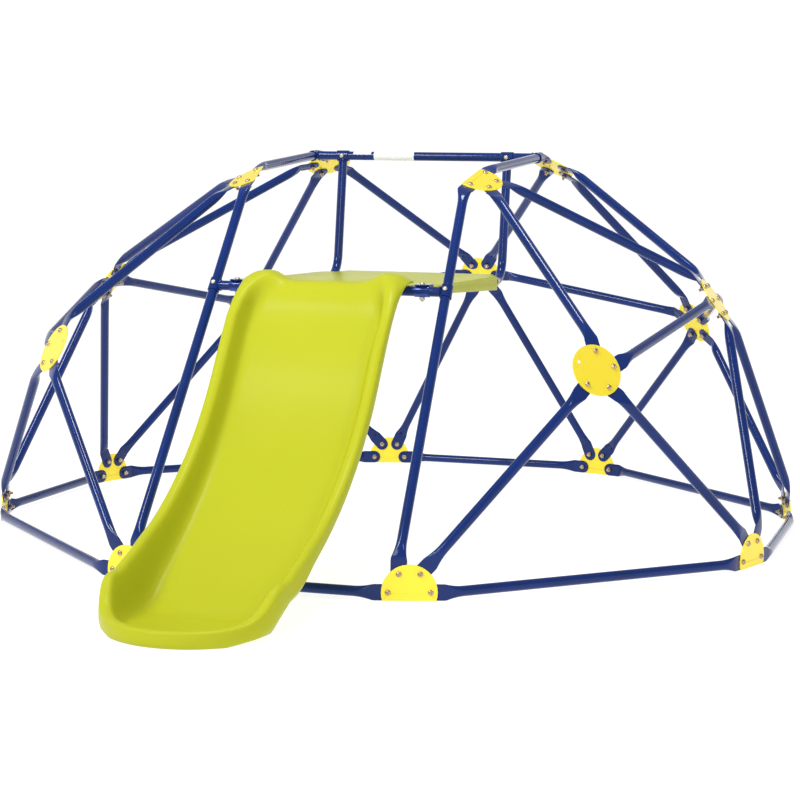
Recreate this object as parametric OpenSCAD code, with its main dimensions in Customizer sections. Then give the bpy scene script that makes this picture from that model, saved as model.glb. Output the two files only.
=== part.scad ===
// Dome climber with slide for small children. Millimetres, Z up, front of the slide toward -Y.
// Eight ground plates and eleven upper plates are joined by tubes with flattened ends.
// The origin is the middle of the footprint at ground level.

/* [Dome] */
// Distance from the dome's centre line to a ground plate
reach = 1050; // [1030:5:1070]
// Half the length of one side of the ground ring
ring_half = 355; // [345:1:365]
// Height of the two front corner plates
corner_front_z = 520; // [505:1:535]
// Height of the two back corner plates
corner_back_z = 533; // [515:1:545]
// Height of the three side plates
side_z = 650; // [635:1:665]
// Height of the two front top plates
top_front_z = 967; // [957:1:977]
// Height of the two back top plates
top_back_z = 999; // [989:1:1009]

/* [Tube] */
// Outside diameter of the tube
tube_d = 25; // [24:0.5:26]
// Width of a flattened tube end
flat_w = 39; // [37:0.5:39]
// Thickness of a flattened tube end and of a plate
sheet = 3; // [2.5:0.25:3.5]

/* [Plate] */
// Diameter of a connector plate
plate_d = 132; // [128:1:136]
// Radius of the circle of bolt holes
hole_ring = 50; // [48:0.5:51]
// Diameter of a bolt hole
hole_d = 8.5; // [8.25:0.25:9]

/* [Deck and slide] */
// Height of the crossbar that carries the slide
bar_z = 689; // [684:1:694]
// Half the width of the deck
deck_half = 266; // [265:1:268]
// Half the width of the slide
slide_half = 213; // [208:1:215]

/* [Node] */
// Which node to draw, or all of them

/* [Hidden] */
$fn = 32;
blue = [0.03, 0.09, 0.42];
yellow = [0.98, 0.85, 0.10];
lime = [0.66, 0.78, 0.05];
zinc = [0.62, 0.60, 0.55];

// Fasteners: M8 through the plates, M6 through the sleeves.
bolt_d = 8;
head_d = 14;
head_h = 5;
nut_af = 13;
nut_h = 6.5;
bolt_tail = 7;
screw_d = 6;
screw_head_d = 12;

// Tube ends: the bend lies flat_len beyond the hole and the tube is round again flare_len later.
flat_len = 37;
flare_len = 28;
skim = 0.2;
step = 0.6;
ground_z = flat_w / 2;

// Sleeves welded on the bars.
sleeve_d = tube_d + 6;
leg_sleeve_len = 36;
rail_sleeve_len = 36;
grip_sleeve_len = 36;
plug_d = 20;
plug_len = 32;

// Handles lean forward and turn into the rails under the deck, which falls gently to the back.
grip_x = 247;
grip_y = 225;
grip_lean = 7.7;
grip_bend = 70;
rail_flare = 46;
deck_front = -578;
deck_back = 200;
deck_fall = 0.8;
deck_sheet = 4;
deck_skirt_front = 22;
deck_skirt_back = 42;
deck_nose = 90;
deck_round = 20;
deck_tail_half = 226;
deck_ribs = [180, 380, 580];
rib_half = 215;
rib_deep = 20;
notch_half = 24;
notch_len = 47;
skirt_room = 60;
saddle_t = 2;
clip_len = 16;
clip_t = 2;
clip_at = 93;
lug_h = 14;

// The slide's foot is half an ellipse in plan. It reaches further forward than the dome reaches back.
foot_start = -1460;
foot_len = 230;
foot_y = foot_start - foot_len;

// Plate centres, counter-clockwise from the front left, in the dome's own frame.
corner = reach * 0.681;
side = reach * 0.843;
HUBS = [
  [-ring_half, -reach, ground_z],
  [ring_half, -reach, ground_z],
  [reach, -ring_half, ground_z],
  [reach, ring_half, ground_z],
  [ring_half, reach, ground_z],
  [-ring_half, reach, ground_z],
  [-reach, ring_half, ground_z],
  [-reach, -ring_half, ground_z],
  [-corner, -corner, corner_front_z],
  [corner, -corner, corner_front_z],
  [side, 0, side_z],
  [corner, corner, corner_back_z],
  [0, side, side_z],
  [-corner, corner, corner_back_z],
  [-side, 0, side_z],
  [-313, -341, top_front_z],
  [313, -341, top_front_z],
  [343, 372, top_back_z],
  [-343, 372, top_back_z]
];

// Hole angles in each plate: 0 is counter-clockwise round the dome, 90 is up its slope.
GROUND_HOLES = [0, 60, 120, 180];
FIVE = [90, 18, -54, -126, 162];
SIX = [0, 60, 120, 180, 240, 300];
TOP_FRONT_HOLES = [222, 282, 342, 42];
TOP_BACK_HOLES = [60, -12, -84, -156, 132];
function turned(angles, by) = [for (a = angles) a + by];
function mirrored(angles) = [for (a = angles) 180 - a];
HOLES = [
  for (i = [0 : 7]) GROUND_HOLES,
  turned(FIVE, 10),
  turned(FIVE, -10),
  SIX,
  FIVE,
  SIX,
  FIVE,
  SIX,
  mirrored(TOP_FRONT_HOLES),
  TOP_FRONT_HOLES,
  mirrored(TOP_BACK_HOLES),
  TOP_BACK_HOLES
];
// Direction of the straight cut on a plate that is part of a circle.
CUT = [for (i = [0 : 7]) -90, 0, 0, 0, 0, 0, 0, 0, 48, 132, 0, 0];
cut_at = ground_z;

// Tubes between two plates: name, plate, hole angle, plate, hole angle.
TUBES = [
  ["ground_tube_front", 0, 0, 1, 180],
  ["ground_tube_front_right", 1, 0, 2, 180],
  ["ground_tube_right", 2, 0, 3, 180],
  ["ground_tube_back_right", 3, 0, 4, 180],
  ["ground_tube_back", 4, 0, 5, 180],
  ["ground_tube_back_left", 5, 0, 6, 180],
  ["ground_tube_left", 6, 0, 7, 180],
  ["ground_tube_front_left", 7, 0, 0, 180],
  ["lower_tube_1", 1, 60, 9, -136],
  ["lower_tube_2", 2, 120, 9, -64],
  ["lower_tube_3", 2, 60, 10, 240],
  ["lower_tube_4", 3, 120, 10, 300],
  ["lower_tube_5", 3, 60, 11, -126],
  ["lower_tube_6", 4, 120, 11, -54],
  ["lower_tube_7", 4, 60, 12, 240],
  ["lower_tube_8", 5, 120, 12, 300],
  ["lower_tube_9", 5, 60, 13, -126],
  ["lower_tube_10", 6, 120, 13, -54],
  ["lower_tube_11", 6, 60, 14, 240],
  ["lower_tube_12", 7, 120, 14, 300],
  ["lower_tube_13", 7, 60, 8, -116],
  ["lower_tube_14", 0, 120, 8, -44],
  ["middle_tube_1", 9, 8, 10, 180],
  ["middle_tube_2", 10, 0, 11, 162],
  ["middle_tube_3", 11, 18, 12, 180],
  ["middle_tube_4", 12, 0, 13, 162],
  ["middle_tube_5", 13, 18, 14, 180],
  ["middle_tube_6", 14, 0, 8, 172],
  ["upper_tube_1", 9, 80, 16, 282],
  ["upper_tube_2", 10, 120, 16, 342],
  ["upper_tube_3", 10, 60, 17, 192],
  ["upper_tube_4", 11, 90, 17, 264],
  ["upper_tube_5", 12, 120, 17, 336],
  ["upper_tube_6", 12, 60, 18, -156],
  ["upper_tube_7", 13, 90, 18, -84],
  ["upper_tube_8", 14, 120, 18, -12],
  ["upper_tube_9", 14, 60, 15, 198],
  ["upper_tube_10", 8, 100, 15, 258],
  ["top_rail_right", 16, 42, 17, 120],
  ["top_rail_left", 15, 138, 18, 60]
];

// The two front legs run from a top plate to a ground plate and are split at the crossbar: name,
// plate, hole angle, plate, hole angle, and how far each flattened end is turned in its plate.
LEGS = [
  ["left", 15, 318, 0, 60, 20, -12],
  ["right", 16, 222, 1, 120, -20, 12]
];

OTHERS = [
  "base_plates",
  "corner_plates",
  "side_plates",
  "top_front_plates",
  "top_back_plates",
  "leg_upper_left",
  "leg_upper_right",
  "leg_lower_left",
  "leg_lower_right",
  "crossbar_front",
  "crossbar_back",
  "handle_left",
  "handle_right",
  "rail_saddles",
  "deck_clips",
  "deck",
  "slide",
  "plate_bolts",
  "plate_nuts",
  "sleeve_bolts"
];

function unit(v) = v / norm(v);
function hub_n(i) = unit(HUBS[i] - [0, 0, ground_z]);
function hub_u(i) = unit([-hub_n(i).y, hub_n(i).x, 0]);
function hub_w(i) = cross(hub_n(i), hub_u(i));
function on_hub(i, a) = HUBS[i] + hole_ring * (cos(a) * hub_u(i) + sin(a) * hub_w(i));
function flat_at(i, a) = on_hub(i, a) - sheet * hub_n(i);
function spin(v, n, a) = cos(a) * v + sin(a) * cross(n, v);
function flat_dir(i, a, q, turn = 0) =
  let (v = q - flat_at(i, a), n = hub_n(i)) spin(unit(v - (v * n) * n), n, turn);
function bend_at(i, a, q, turn = 0) = flat_at(i, a) + flat_len * flat_dir(i, a, q, turn);
function along(p, q, k) = p + k * (q - p);

// The ground tubes reach furthest back, and the slide's foot furthest forward.
dome_y = -(foot_y + bend_at(4, 0, flat_at(5, 180)).y + tube_d / 2) / 2;

// Where each front leg meets the crossbar, and which way the leg runs there.
function leg_top(l) = bend_at(l[1], l[2], flat_at(l[3], l[4]), l[5]);
function leg_foot(l) = bend_at(l[3], l[4], flat_at(l[1], l[2]), l[6]);
function leg_dir(l) = unit(leg_foot(l) - leg_top(l));
function leg_joint(l) =
  along(leg_top(l), leg_foot(l), (leg_top(l).z - bar_z) / (leg_top(l).z - leg_foot(l).z));
leg_split = 10;
bar_y = leg_joint(LEGS[1]).y;
bar_x = leg_joint(LEGS[1]).x;

// Where the back bar's end sleeves ride on the two top rails.
function rail_a(t) = bend_at(t[1], t[2], flat_at(t[3], t[4]));
function rail_b(t) = bend_at(t[3], t[4], flat_at(t[1], t[2]));
function rail_dir(t) = unit(rail_b(t) - rail_a(t));
function rail_joint(t) =
  along(rail_a(t), rail_b(t), (grip_y - rail_a(t).y) / (rail_b(t).y - rail_a(t).y));
RAIL = TUBES[38];
grip_z = rail_joint(RAIL).z;
rail_end_x = rail_joint(RAIL).x;

// Deck surface and the rail under it, from front to back.
function deck_level(y) = bar_z + 13 - (y - deck_front) * tan(deck_fall);
function rail_level(y) = deck_level(y) - (deck_sheet + tube_d / 2) / cos(deck_fall);
rail_way = [0, cos(deck_fall), -sin(deck_fall)];
grip_way = [0, sin(grip_lean), cos(grip_lean)];
grip_turn = 90 - grip_lean + deck_fall;
knee_y = (grip_y - (grip_z - rail_level(0)) * tan(grip_lean)) / (1 + tan(grip_lean) * tan(deck_fall));
function knee(s) = [s * grip_x, knee_y, rail_level(knee_y)];
knee_len = grip_bend * tan(grip_turn / 2);

module frame_at(o, x, y, z) {
  multmatrix([
    [x.x, y.x, z.x, o.x],
    [x.y, y.y, z.y, o.y],
    [x.z, y.z, z.z, o.z],
    [0, 0, 0, 1]
  ])
    children();
}

// Draws children with their Z along d and their Y as near to side as it can be.
module aim(o, d, side) {
  y = unit(side - (side * d) * d);
  frame_at(o, cross(y, d), y, d) children();
}

module hub_frame(i) {
  frame_at(HUBS[i], hub_u(i), hub_w(i), hub_n(i)) children();
}

module rod(p, q, d) {
  aim(p, unit(q - p), [0.01, 0.02, 1]) cylinder(d = d, h = norm(q - p));
}

// Flattened end of a tube: p is the hole, d the way out of the plate, n the plate's outward side,
// q the point where the tube is round again and t its direction there.
module flat_end(p, d, n, q, t) {
  s = cross(n, d);
  b = p + flat_len * d;
  frame_at(p, d, s, n)
    translate([0, 0, -sheet / 2])
      linear_extrude(sheet)
        difference() {
          union() {
            circle(d = flat_w);
            translate([0, -flat_w / 2])
              square([flat_len, flat_w]);
          }
          circle(d = hole_d);
        }
  hull() {
    frame_at(b, d, s, n)
      translate([-3, -flat_w / 2 + skim, -sheet / 2 + skim])
        cube([1, flat_w - 2 * skim, sheet - 2 * skim]);
    aim(q + 2 * t, t, s) cylinder(d = tube_d - 2 * step, h = 1, $fn = 24);
  }
}

module hub_end(i, a, q, far, turn = 0) {
  b = bend_at(i, a, q, turn);
  t = unit(far - b);
  flat_end(flat_at(i, a), flat_dir(i, a, q, turn), hub_n(i), b + flare_len * t, t);
}

module frame_tube(t) {
  pa = flat_at(t[1], t[2]);
  pb = flat_at(t[3], t[4]);
  ba = rail_a(t);
  bb = rail_b(t);
  d = unit(bb - ba);
  color(blue) {
    hub_end(t[1], t[2], pb, bb);
    rod(ba + flare_len * d, bb - flare_len * d, tube_d);
    hub_end(t[3], t[4], pa, ba);
  }
}

module leg_upper(l) {
  d = leg_dir(l);
  end = leg_joint(l) + leg_split * d;
  color(blue)
    difference() {
      union() {
        hub_end(l[1], l[2], flat_at(l[3], l[4]), leg_foot(l), l[5]);
        rod(leg_top(l) + flare_len * d, end, tube_d);
      }
      rod(end - plug_len * d, end + d, plug_d);
      sleeve_hole(l);
    }
}

module leg_lower(l) {
  d = leg_dir(l);
  start = leg_joint(l) + leg_split * d;
  color(blue)
    difference() {
      union() {
        hub_end(l[3], l[4], flat_at(l[1], l[2]), leg_top(l), l[6]);
        rod(start, leg_foot(l) - flare_len * d, tube_d);
        rod(start - plug_len * d, start + d, plug_d);
      }
      sleeve_hole(l);
    }
}

// The front bolt of a leg sleeve lies square to the leg.
function front_of(l) = unit([0, -1, 0] - (leg_dir(l) * [0, -1, 0]) * leg_dir(l));

module sleeve_hole(l) {
  rod(leg_joint(l) - 40 * front_of(l), leg_joint(l) + 40 * front_of(l), screw_d + 0.5);
}

module crossbar_front() {
  color(blue)
    difference() {
      union() {
        rod([-bar_x, bar_y, bar_z], [bar_x, bar_y, bar_z], tube_d);
        for (l = LEGS)
          rod(
            leg_joint(l) - leg_sleeve_len / 2 * leg_dir(l),
            leg_joint(l) + leg_sleeve_len / 2 * leg_dir(l),
            sleeve_d
          );
      }
      for (l = LEGS) {
        rod(leg_joint(l) - 40 * leg_dir(l), leg_joint(l) + 40 * leg_dir(l), tube_d);
        sleeve_hole(l);
      }
      for (s = [-1, 1])
        translate([s * grip_x, bar_y, bar_z - 40])
          cylinder(d = hole_d, h = 80);
    }
}

module crossbar_back() {
  color(blue)
    difference() {
      union() {
        rod([-rail_end_x, grip_y, grip_z], [rail_end_x, grip_y, grip_z], tube_d);
        for (t = [TUBES[38], TUBES[39]])
          rod(
            rail_joint(t) - rail_sleeve_len / 2 * rail_dir(t),
            rail_joint(t) + rail_sleeve_len / 2 * rail_dir(t),
            sleeve_d
          );
      }
      for (t = [TUBES[38], TUBES[39]])
        rod(rail_joint(t) - 40 * rail_dir(t), rail_joint(t) + 40 * rail_dir(t), tube_d);
      for (s = [-1, 1])
        translate([s * grip_x, grip_y, grip_z])
          rotate([90, 0, 0])
            cylinder(d = screw_d + 0.5, h = 80, center = true);
    }
}

// A handle hangs from the back bar, turns forward and becomes the rail under the deck.
module handle(s) {
  top = [s * grip_x, grip_y, grip_z];
  rail_end = knee(s) - knee_len * rail_way;
  over = cross([1, 0, 0], rail_way);
  front = [s * grip_x, bar_y, bar_z + tube_d / 2 + saddle_t + sheet / 2];
  far = rail_end + (bar_y + flat_len + rail_flare - rail_end.y) / rail_way.y * rail_way;
  color(blue)
    difference() {
      union() {
        rod(knee(s) + knee_len * grip_way, top, tube_d);
        for (joint = [rail_end, knee(s) + knee_len * grip_way])
          translate(joint) sphere(d = tube_d + 2 * step);
        frame_at(rail_end + grip_bend * over, -over, rail_way, [1, 0, 0])
          rotate_extrude(angle = grip_turn)
            translate([grip_bend, 0]) circle(d = tube_d);
        rod(far, rail_end, tube_d);
        flat_end(front, [0, 1, 0], [0, 0, 1], far, rail_way);
        translate([s * grip_x - grip_sleeve_len / 2, grip_y, grip_z])
          rotate([0, 90, 0])
            cylinder(d = sleeve_d, h = grip_sleeve_len);
      }
      translate([s * grip_x - grip_sleeve_len, grip_y, grip_z])
        rotate([0, 90, 0])
          cylinder(d = tube_d, h = 2 * grip_sleeve_len);
      translate([s * grip_x, grip_y, grip_z])
        rotate([90, 0, 0])
          cylinder(d = screw_d + 0.5, h = 80, center = true);
    }
}

// Half shells that spread the bolt's load over the crossbar, above and below.
module rail_saddles() {
  color(blue)
    for (s = [-1, 1])
      translate([s * grip_x, bar_y, bar_z])
        for (up = [0, 180])
          rotate([up, 0, 0])
            difference() {
              intersection() {
                rotate([0, 90, 0])
                  cylinder(d = tube_d + 2 * saddle_t, h = 38, center = true);
                translate([-19, -tube_d, 4]) cube([38, 2 * tube_d, tube_d]);
              }
              rotate([0, 90, 0]) cylinder(d = tube_d, h = 60, center = true);
              cylinder(d = hole_d, h = 60);
            }
}

// One plate: a disc, or a disc with one side cut straight, with its ring of holes.
module plate(i) {
  hub_frame(i)
    translate([0, 0, -sheet / 2])
      linear_extrude(sheet)
        difference() {
          circle(d = plate_d);
          if (CUT[i] != 0)
            rotate(CUT[i])
              translate([cut_at, -plate_d]) square(2 * plate_d);
          for (a = HOLES[i])
            rotate(a) translate([hole_ring, 0]) circle(d = hole_d);
        }
}

module plates(list) {
  color(yellow)
    for (i = list) plate(i);
}

// Every plate bolt: plate index and hole angle, for holes that hold a tube end.
function ends(table, k) = [for (t = table) [t[k], t[k + 1]]];
BOLTED = concat(ends(TUBES, 1), ends(TUBES, 3), ends(LEGS, 1), ends(LEGS, 3));

module pan_head(d, h) {
  rotate_extrude()
    polygon([
      [0, 0],
      [d / 2, 0],
      [d / 2, h * 0.4],
      [d * 0.42, h * 0.75],
      [d * 0.25, h],
      [0, h]
    ]);
}

module bolt(d, head, h, len) {
  pan_head(head, h);
  translate([0, 0, -len]) cylinder(d = d, h = len + 0.5);
}

module nut(d, af, h) {
  difference() {
    cylinder(d = af / cos(30), h = h, $fn = 6);
    translate([0, 0, -1]) cylinder(d = d, h = h + 2, $fn = 32);
  }
}

// Puts children on a plate at one hole, with Z outward from the plate's face.
module at_hole(e, lift) {
  frame_at(on_hub(e[0], e[1]) + lift * hub_n(e[0]), hub_u(e[0]), hub_w(e[0]), hub_n(e[0]))
    children();
}

module plate_bolts() {
  color(zinc)
    for (e = BOLTED)
      at_hole(e, sheet / 2) bolt(bolt_d, head_d, head_h, 2 * sheet + nut_h + bolt_tail);
}

module plate_nuts() {
  color(zinc)
    for (e = BOLTED)
      at_hole(e, -sheet * 1.5 - nut_h) nut(bolt_d, nut_af, nut_h);
}

// Bolts through the sleeves and through the rail ends on the front crossbar.
module sleeve_bolts() {
  reach_through = sleeve_d / 2;
  rail_stack = tube_d + 2 * saddle_t + sheet;
  color(zinc) {
    for (l = LEGS)
      aim(leg_joint(l) + reach_through * front_of(l), front_of(l), [1, 0, 0])
        bolt(screw_d, screw_head_d, 4, sleeve_d - 2);
    for (s = [-1, 1]) {
      clip_frame(s)
        translate([s * (deck_tail_half - deck_sheet - grip_x), 0, clip_len / 2])
          rotate([0, -s * 90, 0])
            bolt(screw_d, screw_head_d, 4, 11);
      translate([s * grip_x, grip_y - reach_through, grip_z])
        rotate([90, 0, 0])
          bolt(screw_d, screw_head_d, 4, sleeve_d - 2);
      translate([s * grip_x, bar_y, bar_z + tube_d / 2 + saddle_t + sheet]) {
        bolt(bolt_d, head_d, head_h, rail_stack + nut_h + 4);
        translate([0, 0, -rail_stack - nut_h]) nut(bolt_d, nut_af, nut_h);
      }
    }
  }
}

// Draws children with the deck's front edge as X and its top surface as Z = 0.
module deck_frame() {
  translate([0, deck_front, deck_level(deck_front)]) rotate([-deck_fall, 0, 0]) children();
}

module round_end(half, back, r) {
  translate([-half, 0]) square([2 * half, back - r]);
  translate([r - half, 0]) square([2 * (half - r), back]);
  for (s = [-1, 1])
    translate([s * (half - r), back - r]) circle(r = r);
}

// Plan of the deck, drawn smaller by g for the hollow underneath: full width to the noses beside
// the handles, then narrower between them, with room in front for the rail ends.
module deck_plan(g) {
  difference() {
    union() {
      round_end(deck_half - g, deck_nose - deck_front - g, deck_round);
      round_end(deck_tail_half - g, deck_back - deck_front - g, deck_round);
    }
    for (s = [-1, 1])
      translate([s * grip_x - notch_half - g, -1])
        square([2 * (notch_half + g), notch_len + g]);
  }
}

module deck() {
  color(lime)
    difference() {
      deck_body();
      for (s = [-1, 1])
        clip_frame(s) clip_screw_hole(s);
    }
}

// Everything under the sheet is cut from skirt_room deep, starting a little below it.
module under_sheet() {
  translate([0, 0, -skirt_room - 1]) linear_extrude(skirt_room + 1 - deck_sheet) children();
}

module deck_body() {
  deck_len = deck_back - deck_front;
  deepen = atan((deck_skirt_back - deck_skirt_front) / deck_len);
  rail_slot = tube_d + 2;
  deck_frame()
    difference() {
      translate([0, 0, -skirt_room]) linear_extrude(skirt_room) deck_plan(0);
      difference() {
        under_sheet() deck_plan(deck_sheet);
        for (y = deck_ribs)
          translate([-rib_half, y, -rib_deep]) cube([2 * rib_half, deck_sheet, rib_deep]);
      }
      under_sheet()
        translate([deck_sheet - deck_half, -1]) square([2 * (deck_half - deck_sheet), 6]);
      for (s = [-1, 1])
        under_sheet()
          translate([s * grip_x - rail_slot / 2, deck_nose - deck_front - notch_half])
            square([rail_slot, notch_half + 2]);
      translate([0, 0, -deck_skirt_front])
        rotate([-deepen, 0, 0])
          translate([-deck_half - 40, -100, -100])
            cube([2 * (deck_half + 40), deck_len + 200, 100]);
    }
}

// Clips that hold the rails to the sides of the deck's tail: a band round the rail with a lug.
// Their own frame has Z along the rail and X to the right.
module clip_frame(s) {
  at = knee(s) + (clip_at - knee_y) / rail_way.y * rail_way;
  frame_at(at, [1, 0, 0], cross(rail_way, [1, 0, 0]), rail_way) children();
}

module clip_screw_hole(s) {
  translate([-s * grip_x, 0, clip_len / 2])
    rotate([0, 90, 0])
      cylinder(d = screw_d + 0.5, h = 2 * (grip_x - tube_d / 2 + 3), center = true);
}

module deck_clips() {
  lug_in = grip_x - deck_tail_half;
  color(zinc)
    for (s = [-1, 1])
      clip_frame(s)
        difference() {
          union() {
            cylinder(d = tube_d + 2 * clip_t, h = clip_len);
            translate([s > 0 ? -lug_in : 0, -lug_h / 2, 0]) cube([lug_in, lug_h, clip_len]);
          }
          translate([0, 0, -1]) cylinder(d = tube_d, h = clip_len + 2);
          clip_screw_hole(s);
        }
}

// Side view of the slide from its top down to where the foot begins: rim y z, bed y z, underside
// y z, and its section, from -1 at the top through 0 on the way down to 1 where it levels out.
STATIONS = [
  [-588, 731, -590, 708, -590, 704, -1],
  [-614, 733, -615, 709, -614, 704, -1],
  [-642, 731, -640, 706, -636, 700, -1],
  [-674, 716, -664, 688, -658, 682, -0.6],
  [-707, 695, -684, 664, -676, 657, -0.25],
  [-742, 664, -702, 634, -693, 627, 0],
  [-829, 560, -787, 526, -777, 518, 0],
  [-910, 446, -866, 412, -856, 404, 0],
  [-1000, 349, -959, 306, -950, 297, 0.3],
  [-1120, 256, -1085, 200, -1078, 190, 0.6],
  [-1240, 190, -1214, 116, -1208, 105, 1],
  [-1320, 160, -1303, 66, -1299, 53, 1],
  [-1370, 140, -1363, 29, -1362, 14, 1],
  [-1410, 127, -1408, 14, -1408, 0, 1],
  [foot_start, 112, foot_start, 12, foot_start, 0, 1]
];
foot_bed = 12;
foot_lip = 37;
foot_rise = 75;
foot_steps = 12;
// Where round the foot its side walls drop to the lip, and where its section is the lip's own.
lip_drop = 24;
lip_turn = 50;
// Half section of the slide from the bed's edge over the rim to the underside's edge, as pairs at
// the top, on the way down, where it levels out and at the lip. A pair is a depth (0 at the rim,
// 1 at the bed and 2 at the underside) and how far in from the outer edge it lies.
SKIN = [
  [1, 122, 1, 74, 1, 72, 1, 70],
  [0.9, 108, 0.97, 58, 0.96, 57, 0.95, 58],
  [0.68, 94, 0.88, 47, 0.84, 47, 0.75, 46],
  [0.4, 80, 0.62, 39, 0.6, 39, 0.45, 37],
  [0.15, 68, 0.3, 33, 0.28, 33, 0.15, 29],
  [0.03, 58, 0.08, 27, 0.07, 27, 0.03, 22],
  [0, 48, 0, 18, 0, 18, 0, 15],
  [0.06, 34, 0.01, 9, 0.02, 8, 0.02, 8],
  [0.22, 20, 0.07, 3, 0.09, 2, 0.1, 2.5],
  [0.5, 7, 0.18, 0, 0.22, 0, 0.25, 0.5],
  [0.95, -5, 0.6, 2, 0.46, 3, 1.3, 1],
  [1.3, 4, 0.7, 11, 0.62, 20, 1.85, 5],
  [1.8, 40, 1.3, 34, 1, 52, 2, 12],
  [2, 80, 2, 60, 2, 66, 2, 26]
];

// The section w of one row of SKIN, where whole numbers are its own pairs, from -1 to 2.
function side_skin(pairs, w) =
  let (a = min(2, floor(w) + 1), k = w + 1 - a)
    [for (i = [2 * a, 2 * a + 1]) pairs[i] + k * (pairs[i + 2] - pairs[i])];
function at_depth(a, b, c, k) = k <= 1 ? a + k * (b - a) : b + (k - 1) * (c - b);

// One side's points at a station above the foot.
function side_ring(st) = [
  for (pairs = SKIN)
    let (e = side_skin(pairs, st[6]))
      [slide_half - e[1], at_depth(st[0], st[2], st[4], e[0]), at_depth(st[1], st[3], st[5], e[0])]
];
// One side's points round the foot: t is 0 where the foot begins and 90 at its tip.
function foot_ring(t) = [
  for (pairs = SKIN)
    let (
      e = side_skin(pairs, min(2, 1 + t / lip_turn)),
      out = unit([foot_len * cos(t), -slide_half * sin(t)]),
      rim = foot_lip + foot_rise / (1 + pow(t / lip_drop, 4))
    )
      [
        t == 90 ? 0 : slide_half * cos(t) - e[1] * out.x,
        foot_start - foot_len * sin(t) - e[1] * out.y,
        at_depth(rim, foot_bed, 0, e[0])
      ]
];
PATH = concat(
  [for (st = STATIONS) side_ring(st)],
  [for (i = [1 : foot_steps]) foot_ring(90 * i / foot_steps)]
);

// The slide's skin: both sides follow PATH from the top to the tip, and the bed and the underside
// go straight across between them.
module slide() {
  m = len(SKIN);
  k = len(PATH);
  right = [for (ring = PATH) for (p = ring) p];
  left = [for (i = [0 : k - 2]) for (p = PATH[i]) [-p.x, p.y, p.z]];
  // Number of point j of ring i on side s; both sides share the ring at the tip.
  function id(s, i, j) = (s > 0 || i == k - 1 ? 0 : k * m) + i * m + j;
  function way(s, f) = s > 0 ? f : [f[2], f[1], f[0]];
  color(lime)
    polyhedron(
      points = concat(right, left),
      faces = concat(
        [
          for (s = [1, -1], i = [0 : k - 2], j = [0 : m - 2])
            for (f = [
              [id(s, i, j), id(s, i, j + 1), id(s, i + 1, j + 1)],
              [id(s, i, j), id(s, i + 1, j + 1), id(s, i + 1, j)]
            ])
              way(s, f)
        ],
        [
          for (j = [0, m - 1], i = [0 : k - 2])
            for (f = concat(
              [[id(1, i, j), id(1, i + 1, j), id(-1, i, j)]],
              i < k - 2 ? [[id(1, i + 1, j), id(-1, i + 1, j), id(-1, i, j)]] : []
            ))
              way(j > 0 ? -1 : 1, f)
        ],
        [
          for (s = [1, -1], j = [0 : m / 2 - 2])
            for (f = [
              [id(s, 0, j), id(s, 0, m - 1 - j), id(s, 0, m - 2 - j)],
              [id(s, 0, j), id(s, 0, m - 2 - j), id(s, 0, j + 1)]
            ])
              way(s, f)
        ],
        [
          [id(1, 0, 0), id(-1, 0, 0), id(-1, 0, m - 1)],
          [id(1, 0, 0), id(-1, 0, m - 1), id(1, 0, m - 1)]
        ]
      )
    );
}

translate([0, dome_y, 0]) {
  for (t = TUBES)
    frame_tube(t);
  plates([0 : 7]);  // base_plates
  plates([8, 9, 11, 13]);  // corner_plates
  plates([10, 12, 14]);  // side_plates
  plates([15, 16]);  // top_front_plates
  plates([17, 18]);  // top_back_plates
  leg_upper(LEGS[0]);  // leg_upper_left
  leg_upper(LEGS[1]);  // leg_upper_right
  leg_lower(LEGS[0]);  // leg_lower_left
  leg_lower(LEGS[1]);  // leg_lower_right
  crossbar_front();
  crossbar_back();
  handle(-1);  // handle_left
  handle(1);  // handle_right
  rail_saddles();
  deck_clips();
  deck();
  slide();
  plate_bolts();
  plate_nuts();
  sleeve_bolts();
}
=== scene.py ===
"""Dome climber with slide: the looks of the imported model, in metres, in the model's own frame."""

import math

import bpy
import numpy as np
from mathutils import Matrix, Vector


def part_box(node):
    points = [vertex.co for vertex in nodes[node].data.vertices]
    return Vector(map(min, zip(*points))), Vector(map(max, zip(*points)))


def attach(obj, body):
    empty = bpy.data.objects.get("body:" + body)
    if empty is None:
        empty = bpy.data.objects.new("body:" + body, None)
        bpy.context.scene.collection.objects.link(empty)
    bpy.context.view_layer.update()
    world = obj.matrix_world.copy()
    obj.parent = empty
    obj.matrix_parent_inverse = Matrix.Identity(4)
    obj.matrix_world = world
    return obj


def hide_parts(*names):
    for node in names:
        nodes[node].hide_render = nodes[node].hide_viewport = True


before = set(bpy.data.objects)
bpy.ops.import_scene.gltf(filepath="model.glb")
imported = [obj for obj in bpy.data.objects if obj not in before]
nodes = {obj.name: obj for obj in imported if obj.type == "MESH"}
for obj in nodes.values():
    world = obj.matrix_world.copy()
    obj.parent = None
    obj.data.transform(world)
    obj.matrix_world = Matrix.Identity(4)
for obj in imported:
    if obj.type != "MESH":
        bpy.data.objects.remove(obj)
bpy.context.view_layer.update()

# Sizes shared by many pieces.
TUBE_R = 0.0125
FLAT_W = 0.039  # across a flattened tube end
FLAT_LEN = 0.037  # from its bolt hole to where it starts to open out
SHEET = 0.003  # thickness of a plate, and of a flattened end
FLARE_LEN = 0.046  # from flat to round
CAD_FLARE_LEN = 0.028  # the same, in the CAD
HOLE_R = 0.00425
SLEEVE_R = 0.0155
SLEEVE_LEN = 0.036
BOLT_R = 0.004
DECK_SHEET = 0.004
RING = 32  # points round a tube


# ---------------------------------------------------------------- vectors and frame reading


def vec(*v):
    return np.array(v, float)


def unit(v):
    return v / np.linalg.norm(v)


# A direction that no part of the model points along.
SKEW = vec(0.31, 0.52, 0.79)


def corners(name):
    """Lowest and highest corner of a CAD node, as arrays."""
    lo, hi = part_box(name)
    return np.array(lo), np.array(hi)


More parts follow.
